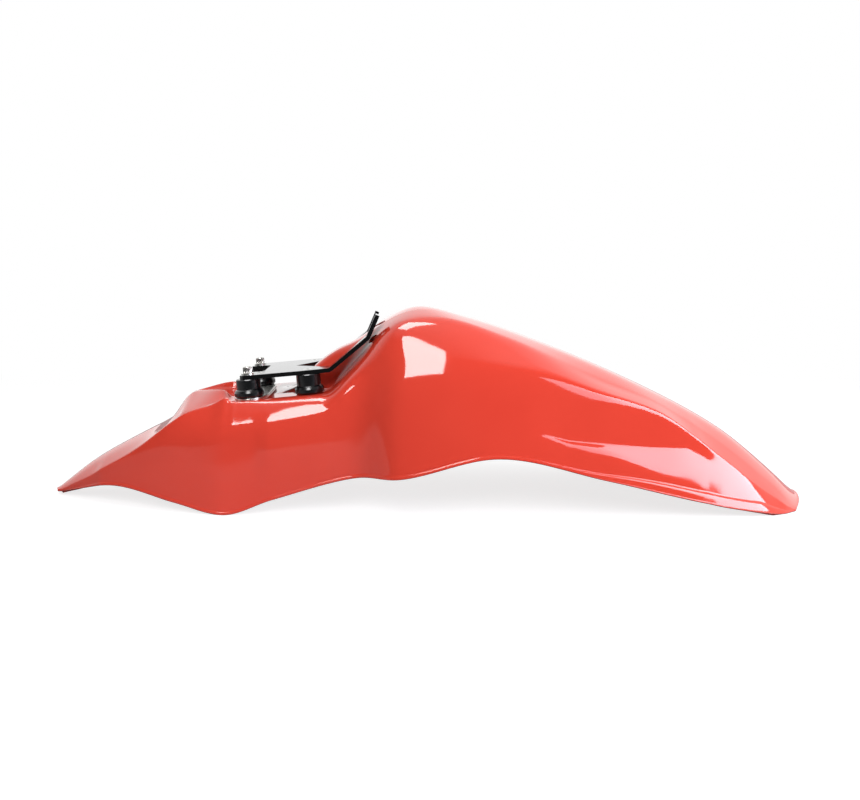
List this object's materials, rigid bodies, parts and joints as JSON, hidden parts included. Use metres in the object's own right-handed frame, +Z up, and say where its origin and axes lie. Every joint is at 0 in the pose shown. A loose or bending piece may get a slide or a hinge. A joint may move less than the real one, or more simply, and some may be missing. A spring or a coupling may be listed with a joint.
{
  "type": "motorcycle front mudguard",
  "caption": "High-mount off-road front mudguard: moulded shell with a raised crown and low nose, and a bent steel bracket on rubber mounts.",
  "frame": {"origin": "on the floor, in the middle of the length and of the width", "axes": "+X toward the nose, +Y toward the left side, +Z up"},
  "size_m": [0.736, 0.2018, 0.1869],
  "materials": {
    "red_plastic": "gloss coral red, injection moulded polypropylene",
    "black_coated_steel": "semi-gloss black powder coat",
    "rubber": "smooth black moulded rubber",
    "zinc_plated_steel": "bright zinc plating",
    "stainless_steel": "turned stainless steel"
  },
  "bodies": {
    "root": {"mudguard_shell": "red_plastic", "mounting_bracket": "black_coated_steel", "rubber_mount_rear_left": "rubber", "rubber_mount_rear_right": "rubber", "rubber_mount_front_left": "rubber", "rubber_mount_front_right": "rubber", "sleeve_rear_left": "zinc_plated_steel", "sleeve_rear_right": "zinc_plated_steel", "sleeve_front_left": "zinc_plated_steel", "sleeve_front_right": "zinc_plated_steel", "rear_strap": "zinc_plated_steel", "top_washer_left": "zinc_plated_steel", "top_washer_right": "zinc_plated_steel", "socket_screw_left": "stainless_steel", "socket_screw_right": "stainless_steel", "flat_screw_left": "stainless_steel", "flat_screw_right": "stainless_steel", "under_washer_rear_left": "zinc_plated_steel", "under_washer_rear_right": "zinc_plated_steel", "under_washer_front_left": "zinc_plated_steel", "under_washer_front_right": "zinc_plated_steel", "nut_rear_left": "zinc_plated_steel", "nut_rear_right": "zinc_plated_steel", "nut_front_left": "zinc_plated_steel", "nut_front_right": "zinc_plated_steel"}
  },
  "joints": []
}
